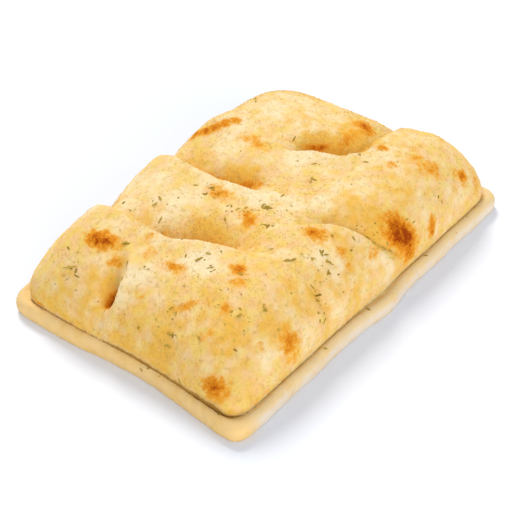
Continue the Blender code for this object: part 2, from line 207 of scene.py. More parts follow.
# Grains: an even share, drifts as span, share and shift, least and greatest shares of full size, full
# turns about each axis, and the browning at which grains are as brown as the crust
EVEN_GRAINS = 0.35
GRAIN_NOISE = ((0.0110, 0.9, 0), (0.0035, 0.5, 1))
FEWEST_GRAINS = 0.03
GRAIN_STRETCH = ((0.45, 0.4, 0.35), (1.0, 0.8, 0.6))
GRAIN_SPIN = (6.28, 6.28, 6.28)
BROWNED_GRAINS = 0.4

# Fine mesh of the crust: faces along, across and up the rim, and how many share one face underneath
FINE_FACES = (340, 232, 12)
UNDERSIDE_STEP = 4
EDGE_CROWDING = 1.25
UNDERSIDE_LIFT = 0.0003
UNDERSIDE_EDGE = 0.1
OUTLINE_SAMPLES = 201

# Height of the painted line in the crease, and where it widens and darkens across the near end. Along the
# sides it is painted lighter than the crust to lift the crease's shade; across the near end it is partly
# browned crust and partly painted shade.
CREASE_LINE = 0.0005
DARK_CREASE_LINE = 0.0027
DARK_CREASE = (-0.45, -0.05)
DARK_CREASE_END = (0.98, 0.85)
THIN_CREASE = 0.30
CREASE_GAIN = 0.5
DARK_CREASE_GAIN = 1.1
DEEP_FURROW = 0.008

# Browned spots: x, y, reach one way, reach across it, heading in degrees, strength, blister height
BROWNED = (
    (0.0164, -0.0447, 0.0081, 0.0050, -90, 1.00, 0.0006),
    (0.0312, -0.0478, 0.0034, 0.0020, -95, 0.72, 0.0003),
    (0.0553, -0.0447, 0.0031, 0.0022, -64, 0.66, 0.0002),
    (0.0504, -0.0070, 0.0040, 0.0046, -45, 0.80, 0.0003),
    (0.0401, -0.0080, 0.0070, 0.0028, 10, 0.42, 0),
    (0.0397, -0.0219, 0.0021, 0.0018, -50, 0.55, 0.0001),
    (0.0441, -0.0381, 0.0055, 0.0032, -70, 0.40, 0),
    (0.0334, -0.0295, 0.0021, 0.0018, -55, 0.36, 0),
    (0.0628, -0.0469, 0.0030, 0.0024, -60, 0.36, 0),
    (0.0122, 0.0386, 0.0030, 0.0022, -80, 0.74, 0.0002),
    (0.0127, 0.0347, 0.0030, 0.0022, -80, 0.80, 0.0002),
    (0.0152, 0.0320, 0.0030, 0.0020, -45, 0.80, 0.0002),
    (0.0182, 0.0299, 0.0028, 0.0019, -35, 0.72, 0.0002),
    (0.0214, 0.0280, 0.0026, 0.0017, -35, 0.56, 0.0001),
    (0.0168, 0.0164, 0.0057, 0.0024, -96, 0.42, 0),
    (-0.0137, 0.0071, 0.0039, 0.0029, -84, 0.50, 0.0001),
    (-0.0183, -0.0088, 0.0045, 0.0025, -138, 0.56, 0.0001),
    (0.0318, 0.0004, 0.0048, 0.0015, -55, 0.66, 0),
    (0.0023, 0.0066, 0.0044, 0.0015, -55, 0.54, 0),
    (-0.0530, 0.0235, 0.0055, 0.0026, -78, 0.86, 0.0004),
    (-0.0561, 0.0143, 0.0024, 0.0019, -60, 0.52, 0),
    (-0.0618, 0.0108, 0.0036, 0.0020, 20, 0.92, 0),
    (-0.0506, -0.0051, 0.0034, 0.0018, -72, 0.50, 0.0001),
    (-0.0493, 0.0057, 0.0020, 0.0020, 0, 0.36, 0),
    (-0.0449, 0.0103, 0.0020, 0.0020, 0, 0.34, 0),
    (-0.0424, -0.0233, 0.0026, 0.0026, 0, 0.62, 0.0002),
    (-0.0466, -0.0266, 0.0024, 0.0019, -54, 0.42, 0),
    (-0.0125, -0.0306, 0.0040, 0.0023, -62, 0.66, 0.0003),
    (-0.0106, -0.0389, 0.0025, 0.0017, -49, 0.46, 0),
    (0.0008, -0.0443, 0.0025, 0.0018, -138, 0.40, 0),
    (-0.0116, -0.0427, 0.0012, 0.0012, 0, 0.46, 0),
    (-0.0593, -0.0166, 0.0036, 0.0016, -47, 0.48, 0),
    (-0.0553, -0.0288, 0.0023, 0.0017, -143, 0.46, 0.0001),
    (-0.0639, -0.0279, 0.0027, 0.0015, -43, 0.34, 0),
    (-0.0612, -0.0010, 0.0018, 0.0018, 0, 0.30, 0),
    (-0.0559, -0.0420, 0.0015, 0.0015, 0, 0.32, 0),
    (-0.0458, -0.0455, 0.0038, 0.0044, -122, 0.70, 0.0003),
    (-0.0718, -0.0365, 0.0042, 0.0035, -75, 0.72, 0.0002),
    (-0.0707, 0.0378, 0.0023, 0.0023, 0, 0.34, 0),
)

# Bumps of the crust's material: kind of noise, span, strength, height
SKIN_BUMPS = (("RIDGED_MULTIFRACTAL", 0.0021, 0.6, 0.00016), ("FBM", 0.0006, 0.6, 0.00022))

# Spans and shares of the noise that makes the spots' and patches' edges ragged
RAGGED_SPOTS = ((0.0045, 0.28), (0.0013, 0.14))
RAGGED_PATCHES = ((0.0100, 0.40), (0.0040, 0.25))

# Shares of a spot's, blister's and patch's reach where it starts and where it is full
SPOT_FADE = (1.8, 0.2)
BLISTER_FADE = (1.25, 0.3)
PATCH_FADE = (1.7, 0.1)

# Golden, oil-soaked patches and pale ones: x, y, reach, strength. The pale ones are floury crust, except
# the row along the right side's foot, which is painted light that lifts the shade by the crease.
GOLDEN = (
    (-0.0610, -0.0335, 0.0070, 0.75), (-0.0681, -0.0149, 0.0070, 0.70),
    (-0.0288, 0.0015, 0.0060, 0.70), (0.0607, 0.0262, 0.0080, 0.55),
    (0.0374, 0.0117, 0.0060, 0.55), (0.0081, -0.0315, 0.0060, 0.75),
    (0.0108, -0.0376, 0.0050, 0.60), (-0.0662, 0.0159, 0.0060, 0.60),
    (-0.0334, -0.0395, 0.0060, 0.60), (-0.0475, -0.0406, 0.0060, 0.60),
    (-0.0210, -0.0439, 0.0050, 0.55), (-0.0430, 0.0036, 0.0045, 0.45),
    (0.0266, -0.0371, 0.0060, 0.60), (-0.0684, -0.0010, 0.0060, 0.50),
    (-0.0560, -0.0240, 0.0080, 0.40), (0.0450, -0.0300, 0.0110, 0.35),
    (-0.0108, -0.0416, 0.0090, 0.50), (0.0081, -0.0410, 0.0090, 0.50),
    (-0.0700, 0.0290, 0.0080, 0.30), (-0.0303, 0.0002, 0.0055, 1.30),
    (-0.0275, 0.0025, 0.0036, 1.20), (0.0011, 0.0105, 0.0055, 0.95),
    (0.0324, -0.0006, 0.0060, 1.00), (0.0411, -0.0094, 0.0070, 0.80),
)
FLOURY_AND_LIT = (
    (-0.0399, 0.0042, 0.0050, 0.70), (-0.0568, 0.0023, 0.0040, 0.70),
    (-0.0468, -0.0117, 0.0050, 0.80), (-0.0048, -0.0148, 0.0060, 0.80),
    (-0.0063, -0.0037, 0.0050, 0.80), (0.0029, -0.0213, 0.0050, 0.60),
    (-0.0164, -0.0387, 0.0050, 0.60), (-0.0685, -0.0092, 0.0030, 0.20),
    (0.0176, -0.0026, 0.0060, 0.70), (0.0085, 0.0206, 0.0050, 0.50),
    (-0.0572, -0.0458, 0.0040, 0.60), (-0.0250, 0.0120, 0.0110, 0.42),
    (-0.0232, 0.0300, 0.0120, 0.50), (0.0440, 0.0220, 0.0140, 0.42),
    (0.0260, 0.0280, 0.0100, 0.40), (0.0130, -0.0262, 0.0070, 0.35),
    (0.0400, -0.0260, 0.0090, 0.20), (-0.0690, 0.0130, 0.0050, 0.50),
    # Painted light: these rows along the right side's foot lift the shade by the crease.
    (-0.0380, -0.0464, 0.0035, 0.30), (-0.0220, -0.0468, 0.0035, 0.35),
    (-0.0080, -0.0472, 0.0035, 0.35), (0.0060, -0.0476, 0.0035, 0.35),
    (0.0330, -0.0486, 0.0035, 0.30),
)

# Light that the crust lets in
CRUST_GLOW = {"Subsurface Weight": 0.08, "Subsurface Radius": (1.0, 0.5, 0.25), "Subsurface Scale": 0.002}

# Noise in the crust's colour: distance between its blots, and levels of finer detail
COLOUR_NOISE = {
    "clouds": (0.0100, 1.5), "patches": (0.0044, 1.0), "mottle": (0.0019, 1.0), "speckle": (0.0006, 2.0),
    "hues": (0.0034, 0.5), "pits": (0.0011, 3.0), "dust": (0.0014, 0.0),
}

# The crust's own numbers that its colour reads
SURFACE_ATTRIBUTES = ("browning", "crease", "floury", "golden", "lip", "rim", "valley")

# Heights and places along the loaf where its colour changes: where the change starts and is full. The lower
# walls, more so towards the near end, are painted in shade; past the near end's mark the rim and crease
# take the colours painted for that shaded end.
SHADED_LOW_WALL = (0.020, 0.008)
SHADED_NEAR_WALL = (-0.045, -0.065)
NEAR_END = (-0.066, -0.073)

# Shares of each noise, number and place in what makes the crust pale, golden, blotched and so on. The low
# and low near shares paint shade on the lower walls: less pale, and towards the near end more golden.
SHARES = {
    # Pale: the lip share paints a highlight on the furrows' raised lips.
    "pale": {"clouds": 1.0, "light": 0.6, "mottle": 0.15, "floury": 0.6, "lip": 0.25, "low": -0.08,
             "low near": -0.12},
    # Gold: the valley share is partly oil-soaked crust and partly painted shade in the furrows.
    "gold": {"golden": 0.9, "valley": 0.7, "low near": 0.25, "patches": 0.8, "soaked": 1.1,
             "mottle": 0.3, "floury": -0.5},
    "browning": {"mottle": 0.80, "patches": 0.40, "speckle": 0.60},
    "blotches": {"clouds": 0.8, "patches": 0.8, "mottle": 0.3},
    "crease": {"crease": 1.0, "mottle": 0.60, "speckle": 0.30},
}

# Browning: the noise's usual total, a spot's faint edge, and how furrow bottoms brown, partly browned crust
# and partly painted shade
EVEN_BROWNING = 0.90
SPOT_EDGE = (0.0, 0.12)
FURROW_BROWNING_AND_SHADE = (0.45, 0.95, 0.44)

# Steps from one colour to the next: where each starts, where it is full, and its strength there
STEPS = {
    "dough": (0.34, 0.68), "pale": (0.70, 1.40), "gold": (1.00, 1.95, 0.90), "pits": (0.42, 0.72, 0.17),
    "dust": (0.66, 0.76, 0.35), "amber": (-0.02, 0.52), "toast": (0.26, 0.84), "char": (0.66, 1.08),
    "rim_top": (0.0030, 0.0056), "blotches": (0.80, 1.15, 0.40), "crease": (0.60, 1.03),
    "dark_crease": (0.98, 1.33),
}

# Studio: floor and sky, then each sun's angle across, its colour and the way towards it
FLOOR_COLOUR = (0.84, 0.86, 0.91, 1.0)
SKY_COLOUR = (0.84, 0.90, 1.0, 1.0)
SUNS = {
    "key": (20, (1.0, 0.96, 0.88), (0.60, 0.78, 0.95)),
    "fill": (50, (1.0, 0.97, 0.92), (-0.50, -0.90, 0.22)),
}

# The photograph's view of the loaf
CAMERA_TARGET = (-0.01247, -0.00653, 0.0100)
CAMERA_HEADING = math.radians(-51.47)
CAMERA_RISE = math.radians(37.97)
CAMERA_ROLL = math.radians(-1.73)
CAMERA_DISTANCE = 0.4171
CAMERA_LENS = 87.9
SENSOR = 36.0

# Distance between nodes in the node editor
NODE_SPACING = 190


def metres(name, description, default):
    """A setting for a length."""
    return FloatProperty(name=name, description=description, default=default, unit="LENGTH", precision=5)


def opaque(name, description, *default):
    """A setting for a colour, given as red, green and blue."""
    return FloatVectorProperty(name=name, description=description, default=(*default, 1.0),
                               subtype="COLOR", size=4)


class CrustSettings(bpy.types.PropertyGroup):
    """Relief and colours of the baked crust."""
    bump_height: metres("Bump height", "Height of the soft unevenness", 0.00032)
    bump_span: metres("Bump span", "Distance between soft bumps", 0.0042)
    skin_height: metres("Skin height", "Height of the skin's fine roughness", 0.00014)
    skin_span: metres("Skin span", "Distance between the fine bumps", 0.0013)
    straw: opaque("Yellow crust", "Straw-yellow crust between", 0.82, 0.565, 0.155)
    dough: opaque("Crust", "Plain baked crust", 0.84, 0.535, 0.23)
    # Pale crust also serves as the painted highlight on the furrows' lips and the painted light along the
    # right side's foot.
    pale: opaque("Pale crust", "Floury crust on ridges", 0.88, 0.70, 0.41)
    # Golden crust also serves as painted shade in the furrows and on the low near walls.
    gold: opaque("Golden crust", "Oil-soaked crust in hollows", 0.81, 0.445, 0.062)
    # Painted shade: the pits colour darkens fine specks, as the shade of pits that the mesh doesn't have.
    pits: opaque("Pits", "Shade of the fine pits all over the crust", 0.50, 0.50, 0.50)
    dust: opaque("Herb dust", "Faint olive specks of crushed rosemary", 0.50, 0.34, 0.06)
    amber: opaque("Amber crust", "Halo round the toasted spots", 0.80, 0.37, 0.038)
    toast: opaque("Toasted crust", "Orange-brown toasted spots", 0.64, 0.19, 0.006)
    char: opaque("Dark crust", "Darkest baked blisters", 0.31, 0.046, 0.002)
    # Rim colours are painted for the light: the rim along the sides is paler and bluer than across the near
    # end.
    side_rim: opaque("Side rim", "Pale rim along the sides", 0.76, 0.645, 0.505)
    rim_top: opaque("Rim top", "Warmer top of that rim", 0.76, 0.56, 0.29)
    end_rim: opaque("End rim", "Baked rim at the near end", 0.84, 0.57, 0.24)
    # Crease colours: along the sides a tan painted lighter than the crust to lift the crease's shade;
    # across the near end darker tan and brown, partly browned crust and partly painted shade.
    crease: opaque("Crease", "Tan line between rim and crown", 0.97, 0.77, 0.36)
    end_crease: opaque("End crease", "That line across the near end", 0.66, 0.42, 0.14)
    dark_crease: opaque("Dark crease", "Browned part of that line", 0.40, 0.20, 0.035)


class ToppingSettings(bpy.types.PropertyGroup):
    """Sizes and colours of the rosemary and the grains."""
    needle_width: metres("Needle width", "Width of a dried needle", 0.0008)
    needle_height: metres("Needle height", "Height of a dried needle", 0.00065)
    needle_dark: opaque("Dark needle", "Darkest rosemary", 0.28, 0.17, 0.018)
    needle_light: opaque("Light needle", "Palest rosemary", 0.55, 0.38, 0.07)
    grain_density: FloatProperty(name="Grains", description="Grains to a square metre of crust",
                                 default=1050000.0)
    grain_size: metres("Grain size", "Largest grain across", 0.0007)
    grain_colour: opaque("Grain", "Pale grains", 0.90, 0.74, 0.46)
    grain_share: FloatProperty(name="Grain paleness", description="How far grains are paler than the crust",
                               default=0.04, min=0.0, max=1.0)
    seed: IntProperty(name="Seed", description="Seed of the grains' places", default=5)


class StageSettings(bpy.types.PropertyGroup):
    """Light and floor of the photo stage."""
    sky: FloatProperty(name="Sky", description="Strength of the even light", default=0.70)
    key: FloatProperty(name="Key light", description="Strength of the sun that casts the shadow",
                       default=2.3)
    fill: FloatProperty(name="Fill light", description="Strength of the low sun on the right side",
                        default=1.9)
    floor_size: metres("Floor size", "Side of the floor", 4.0)


def half_sizes(a, near_inset, far_inset, side_inset):
    """Half length and half width of the outline drawn in from the near end, far end and sides."""
    return LENGTH / 2 - np.where(a < 0, near_inset, far_inset), WIDTH / 2 - side_inset


def plan(a, b, half_x, half_y, corner, bow):
    """Place the square -1 to 1 on an outline with rounded corners and a near end bowed inwards."""
    diagonal = corner * (1 - math.sqrt(0.5))
    cut_x = 1 - ((half_x - diagonal) / half_x) ** 2
    cut_y = 1 - ((half_y - diagonal) / half_y) ** 2
    x = half_x * a * np.sqrt(1 - cut_x * np.abs(b) ** (half_y / diagonal))
    y = half_y * b * np.sqrt(1 - cut_y * np.abs(a) ** (half_x / diagonal))
    near = np.clip(-a, 0, 1) ** ALONG_END
    x = x + bow * near * np.exp(-((b - BOW_CENTRE) / BOW_REACH) ** 2)
    return x - CORNER_FLARE * near * np.clip(-b, 0, 1) ** ALONG_END, y


def warp(x, y):
    """Widen the plan towards its far end and lean it out of square."""
    y = y * (1 + TAPER * x / (LENGTH / 2))
    return x + math.tan(SKEW) * y, y


def quarter_rise(distance, reach):
    """A rounded step from 0 to 1 that leaves the edge upright."""
    t = np.clip(distance / reach, 0, 1)
    return (1 - (1 - t) ** CROWN_POWER) ** (1 / CROWN_POWER)


def furrow_depth(x, y):
    """Depth of the finger furrows at each point of the plan, below zero on their raised near lips."""
    deepest = np.zeros_like(x)
    lip = np.zeros_like(x)
    for near_width, far_width, points in FURROWS:
        for (x0, y0, depth0), (x1, y1, depth1) in zip(points, points[1:]):
            along_x, along_y = x1 - x0, y1 - y0
            run = along_x ** 2 + along_y ** 2
            t = np.clip(((x - x0) * along_x + (y - y0) * along_y) / run, 0, 1)
            off_x, off_y = x - x0 - t * along_x, y - y0 - t * along_y
            distance = np.hypot(off_x, off_y)
            near = off_x * along_y - off_y * along_x > 0
            near_fall = np.clip(1 - distance / near_width, 0, 1)
            far_fall = np.clip(1 - distance / far_width, 0, 1) ** 2
            depth = depth0 + (depth1 - depth0) * t
            deepest = np.maximum(deepest, depth * np.where(near, near_fall, far_fall))
            bank = np.exp(-((distance - near_width) / LIP_REACH) ** 2)
            lip = np.maximum(lip, LIP_SHARE * depth * bank * near)
    return deepest - lip


def swell_height(x, y):
    """Height of the soft swells between the furrows."""
    total = np.zeros_like(x)
    for centre_x, centre_y, height, reach_x, reach_y in SWELLS:
        total += height * np.exp(-((x - centre_x) / reach_x) ** 2 - ((y - centre_y) / reach_y) ** 2)
    return total


def waviness(x, y, z, span):
    """Smooth noise from -1 to 1 at each point, with bumps about one span across."""
    return np.array([noise.noise(Vector(p) / span) for p in zip(x, y, z)])


def rim_points(a, b, level):
    """Rim from the underside (level 0), over its rounded face, down into the crease (level 1)."""
    turn = np.clip(level / RIM_LEVELS_SHARE, 0, 1) * math.pi - math.pi / 2
    dip = np.clip((level - RIM_LEVELS_SHARE) / (1 - RIM_LEVELS_SHARE), 0, 1)
    rounding = np.where(turn < 0, FOOT_ROUND, RIM_ROUND) * (1 - np.cos(turn))
    insets = [rounding + (ledge - RIM_ROUND) * dip for ledge in (NEAR_LEDGE, FAR_LEDGE, SIDE_LEDGE)]
    z = RIM_HEIGHT / 2 * (1 + np.sin(turn)) - CREASE_DEPTH * dip ** CREASE_STEEPNESS
    corner = BASE_CORNER + (CREASE_CORNER - BASE_CORNER) * dip
    x, y = plan(a, b, *half_sizes(a, *insets), corner, END_BOW + (CREASE_BOW - END_BOW) * dip)
    wave = RIM_WAVE * waviness(x, y, 0 * z, RIM_WAVE_SPAN) * (1 - dip)
    bulge = SIDE_BULGE * np.exp(-((x - SIDE_BULGE_CENTRE) / SIDE_BULGE_REACH) ** 2)
    y = y - bulge * (1 - BULGE_FADE * dip) * np.clip(-b, 0, 1) ** ALONG_EDGE
    x, y = warp(x + wave * np.abs(a) ** ALONG_EDGE * a, y + wave * np.abs(b) ** ALONG_EDGE * b)
    return x, y, z


def crown_points(a, b):
    """Puffed top, from the crease at its edge to the pillows and furrows in its middle."""
    half_x, half_y = half_sizes(a, NEAR_LEDGE, FAR_LEDGE, SIDE_LEDGE)
    x, y = plan(a, b, half_x, half_y, CREASE_CORNER, CREASE_BOW)
    end_rise = quarter_rise((1 - np.abs(a)) * half_x, END_REACH)
    side_rise = quarter_rise((1 - np.abs(b)) * half_y, SIDE_REACH)
    rise = end_rise * side_rise
    foot = RIM_HEIGHT - CREASE_DEPTH
    wall = np.sin(math.pi * np.clip(rise, 0, 1))
    warped_x, warped_y = warp(x, y)
    cut = furrow_depth(warped_x, warped_y) * np.clip(rise / FURROW_RISE, 0, 1)
    pull = EDGE_PULL * cut
    x = x + (np.where(a < 0, NEAR_SWELL, FAR_SWELL) - pull) * wall * a * np.abs(a) ** NEAR_EDGE
    y = y + (np.where(b < 0, NEAR_SWELL, FAR_SWELL) - pull) * wall * b * np.abs(b) ** NEAR_EDGE
    x, y = warp(x, y)
    height = (CROWN_HEIGHT + CREASE_DEPTH) * rise
    bumps = UNEVENNESS * waviness(x, y, height, UNEVENNESS_SPAN) + swell_height(x, y)
    return x, y, foot + height - cut + bumps * rise


def outline_middle():
    """Middle of the loaf's outermost outline, which becomes the origin."""
    side = np.linspace(-1, 1, OUTLINE_SAMPLES)
    one = np.ones_like(side)
    a = np.concatenate((side, side, one, -one))
    b = np.concatenate((one, -one, side, side))
    x, y, _ = rim_points(a, b, np.full_like(a, RIM_LEVELS_SHARE / 2))
    return (x.min() + x.max()) / 2, (y.min() + y.max()) / 2


def crowd(a):
    """Move evenly spaced lines towards the edges, where the crown is steep."""
    return np.sign(a) * (1 - (1 - np.abs(a)) ** EDGE_CROWDING)


def fill(tree, node, sockets):
    """Link or set the node's inputs. A node given as a value stands for its first output in use."""
    for key, value in sockets.items():
        if isinstance(value, bpy.types.Node):
            value = next(output for output in value.outputs if output.enabled)
        if isinstance(value, bpy.types.NodeSocket):
            tree.links.new(value, node.inputs[key])
        else:
            node.inputs[key].default_value = value


def add_node(tree, kind, sockets=None, **settings):
    """Add a node to the right of the last one, set its options and fill its inputs."""
    node = tree.nodes.new(kind)
    node.location = (NODE_SPACING * len(tree.nodes), 0)
    for name, value in settings.items():
        setattr(node, name, value)
    fill(tree, node, sockets or {})
    return node


def makers(tree):
    """Short ways to add any node, a Math node and a named attribute to the tree."""
    node = partial(add_node, tree)

    def maths(operation, *values):
        return node("ShaderNodeMath", dict(enumerate(values)), operation=operation)

    def attribute(name):
        if tree.bl_idname == "GeometryNodeTree":
            return node("GeometryNodeInputNamedAttribute", {"Name": name})
        return node("ShaderNodeAttribute", attribute_name=name).outputs["Fac"]

    return node, maths, attribute


def new_geometry_tree(name, inputs):
    """A Geometry Nodes tree with a geometry input and output and the named inputs given."""
    tree = bpy.data.node_groups.new(name, "GeometryNodeTree")
    for label, kind in {"Geometry": "Geometry", **inputs}.items():
        tree.interface.new_socket(label, in_out="INPUT", socket_type="NodeSocket" + kind)
    tree.interface.new_socket("Geometry", in_out="OUTPUT", socket_type="NodeSocketGeometry")
    return tree, add_node(tree, "NodeGroupInput").outputs


def end_tree(tree, geometry, material):
    """Shade the geometry smooth, realize it, give it the material and hand it out."""
    for kind in ("GeometryNodeSetShadeSmooth", "GeometryNodeRealizeInstances"):
        geometry = add_node(tree, kind, {"Geometry": geometry})
    painted = add_node(tree, "GeometryNodeSetMaterial", {"Geometry": geometry, "Material": material})
    add_node(tree, "NodeGroupOutput", {"Geometry": painted})


def run_tree(piece, tree, values):
    """Run the tree on the piece with the named values, and keep the result as its plain mesh."""
    modifier = piece.modifiers.new(tree.name, "NODES")
    modifier.node_group = tree
    for item in tree.interface.items_tree:
        if item.in_out == "INPUT" and item.name in values:
            modifier[item.identifier] = values[item.name]
    graph = bpy.context.evaluated_depsgraph_get()
    mesh = bpy.data.meshes.new_from_object(piece.evaluated_get(graph))
    piece.modifiers.clear()
    old = piece.data
    piece.data = mesh
    mesh.name = piece.name
    bpy.data.meshes.remove(old)
    bpy.data.node_groups.remove(tree)
    if not mesh.polygons:
        raise RuntimeError(f"{piece.name} came out empty")


def new_piece(name, mesh):
    """Link a new object with this mesh at the origin."""
    piece = bpy.data.objects.new(name, mesh)
    bpy.context.scene.collection.objects.link(piece)
    return piece


def hand_in(piece):
    """Tie a finished piece to the frame."""
    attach(piece, BODY)
    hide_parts(NODE)


def new_material(name, roughness, specular):
    """A Principled material, returned with its tree and shader."""
    material = bpy.data.materials.new(name)
    material.use_nodes = True
    tree = material.node_tree
    shader = tree.nodes["Principled BSDF"]
    fill(tree, shader, {"Roughness": roughness, "Specular IOR Level": specular})
    return material, tree, shader


def blank_loaf():
    """A closed cube of -1 to 1 with a fine grid on top and a coarser one underneath."""
    along, across, up = FINE_FACES
    tree, given = new_geometry_tree("loaf blank", {"Along": "Int", "Across": "Int", "Up": "Int"})
    cube = add_node(tree, "GeometryNodeMeshCube", {
        "Size": (2, 2, 2), "Vertices X": given["Along"], "Vertices Y": given["Across"],
        "Vertices Z": given["Up"]})
    add_node(tree, "NodeGroupOutput", {"Geometry": cube})
    crust = new_piece("crust", bpy.data.meshes.new("crust"))
    run_tree(crust, tree, {"Along": along + 1, "Across": across + 1, "Up": up + 1})
    thin_underside(crust.data, along, across)
    return crust


def thin_underside(mesh, along, across):
    """Dissolve most grid lines of the underside, which is nearly flat."""
    bm = bmesh.new()
    bm.from_mesh(mesh)
    spare = []
    for edge in bm.edges:
        start, end = (v.co for v in edge.verts)
        if not math.isclose(max(start.z, end.z), -1):
            continue
        runs_along = abs(start.x - end.x) > abs(start.y - end.y)
        place, faces = (start.y, across) if runs_along else (start.x, along)
        if round((place + 1) / 2 * faces) % UNDERSIDE_STEP:
            spare.append(edge)
    bmesh.ops.dissolve_edges(bm, edges=spare, use_verts=True)
    bm.to_mesh(mesh)
    bm.free()


def rows(items, key):
    """The vectors of a mesh's vertices or normals as an array of rows."""
    values = np.empty(len(items) * 3, dtype=np.float32)
    items.foreach_get(key, values)
    return values.reshape(-1, 3).astype(float)


def store(mesh, name, values):
    """Keep one number per vertex for the materials and the node trees."""
    attribute = mesh.attributes.new(name, "FLOAT", "POINT")
    attribute.data.foreach_set("value", np.asarray(values, dtype=np.float32))


def smooth_step(low, high, x):
    """Rise smoothly from 0 at low to 1 at high."""
    t = np.clip((x - low) / (high - low), 0, 1)
    return t * t * (3 - 2 * t)


def shape_loaf(mesh):
    """Move the blank's vertices to the loaf's form and note where rim, crease and furrows are."""
    cube = rows(mesh.vertices, "co")
    a, b = crowd(cube[:, 0]), crowd(cube[:, 1])
    level = (cube[:, 2] + 1) / 2
    outermost = np.maximum(np.abs(a), np.abs(b))
    edge = np.isclose(outermost, 1)
    under = ~edge & (level < 0.5)
    rim = np.array(rim_points(a, b, np.where(under, 0, level)))
    crown = np.array(crown_points(a, b))
    placed = np.where(edge | under, rim, crown)
    middle_x, middle_y = outline_middle()
    plan_x, plan_y = placed[0].copy(), placed[1].copy()
    lift = UNDERSIDE_LIFT * (1 + waviness(plan_x, plan_y, 0 * plan_x, UNEVENNESS_SPAN))
    placed[2] += np.where(under, lift * np.clip((1 - outermost) / UNDERSIDE_EDGE, 0, 1), 0)
    placed[0] -= middle_x
    placed[1] -= middle_y
    mesh.vertices.foreach_set("co", placed.T.astype(np.float32).ravel())
    mesh.update()
    store(mesh, "rim", edge & (level < 1) | under)
    store(mesh, "under", under | (level == 0))
    crown_side = ~(edge | under)
    # The crease number: painted light along the sides, and across the near end a wider, darker line, partly
    # browned crust and partly painted shade.
    near_end = np.clip(-a, 0, 1) ** ALONG_EDGE
    darkest = smooth_step(*DARK_CREASE, -b) * smooth_step(*DARK_CREASE_END, -b)
    browned = near_end * (THIN_CREASE + (1 - THIN_CREASE) * darkest)
    reach = CREASE_LINE + (DARK_CREASE_LINE - CREASE_LINE) * browned
    climb = np.exp(-((placed[2] - RIM_HEIGHT + CREASE_DEPTH) / reach) ** 2)
    in_crease = np.where(crown_side, climb, smooth_step(RIM_LEVELS_SHARE, 1, level))
    store(mesh, "crease", np.where(under, 0, in_crease * (CREASE_GAIN + DARK_CREASE_GAIN * browned)))
    # The valley number makes the furrows golden and browner: partly oil-soaked, browned crust and partly
    # painted shade.
    furrow = np.where(crown_side, furrow_depth(plan_x, plan_y), 0)
    store(mesh, "valley", np.clip(furrow / DEEP_FURROW, 0, 1))
    # Painted highlight: the lip number makes the furrows' raised lips paler.
    store(mesh, "lip", np.clip(-furrow / (LIP_SHARE * DEEP_FURROW), 0, 1))


def paint_spots(mesh):
    """Browning, golden patches and blister height at each vertex."""
    points = rows(mesh.vertices, "co")
    normals = rows(mesh.vertex_normals, "vector")
    faces_up = normals[:, 2] > 0
    browning = np.zeros(len(points))
    blister = np.zeros(len(points))
    ragged, loose = (1 + sum(share * waviness(*points.T, span) for span, share in noises)
                     for noises in (RAGGED_SPOTS, RAGGED_PATCHES))
    for x, y, reach, across, heading, strength, height in BROWNED:
        nearest = np.argmin(np.hypot(points[:, 0] - x, points[:, 1] - y) + np.where(faces_up, 0, 1))
        centre, normal = points[nearest], normals[nearest]
        turn = math.radians(heading)
        along = np.array([math.cos(turn), math.sin(turn), 0.0])
        along -= normal * (along @ normal)
        along /= np.linalg.norm(along)
        side = np.cross(normal, along)
        off = points - centre
        far = np.sqrt((off @ along / reach) ** 2 + (off @ side / across) ** 2 + (off @ normal / reach) ** 2)
        browning = np.maximum(browning, strength * smooth_step(*SPOT_FADE, far * ragged))
        blister = np.maximum(blister, height * smooth_step(*BLISTER_FADE, far))
    store(mesh, "browning", browning)
    store(mesh, "blister", blister)
    # Golden patches, and pale ones: floury crust and, along the right side's foot, painted light.
    for name, patches in (("golden", GOLDEN), ("floury", FLOURY_AND_LIT)):
        amount = np.zeros(len(points))
        for x, y, reach, strength in patches:
            far = np.hypot(points[:, 0] - x, points[:, 1] - y) / reach
            amount = np.maximum(amount, strength * smooth_step(*PATCH_FADE, far * loose))
        store(mesh, name, amount * faces_up)


def skin_tree():
    """Geometry Nodes: soft bumps, fine skin and blisters raised along the normals."""
    tree, given = new_geometry_tree("baked skin", {
        "Bump height": "Float", "Bump span": "Float", "Skin height": "Float", "Skin span": "Float",
        "Material": "Material"})
    node, maths, attribute = makers(tree)

    def relief(height, span):
        texture = node("ShaderNodeTexNoise", {"Scale": maths("DIVIDE", 1.0, span), "Detail": 2.0})
        return maths("MULTIPLY", maths("MULTIPLY", maths("SUBTRACT", texture, 0.5), 2.0), height)

    bumps = maths("ADD", relief(given["Bump height"], given["Bump span"]),
                  relief(given["Skin height"], given["Skin span"]))
    top = maths("SUBTRACT", 1.0, attribute("under"))
    raised = maths("ADD", maths("MULTIPLY", bumps, top), attribute("blister"))
    offset = node("ShaderNodeVectorMath", {0: node("GeometryNodeInputNormal"), "Scale": raised},
                  operation="SCALE")
    moved = node("GeometryNodeSetPosition", {"Geometry": given["Geometry"], "Offset": offset})
    end_tree(tree, moved, given["Material"])
    return tree


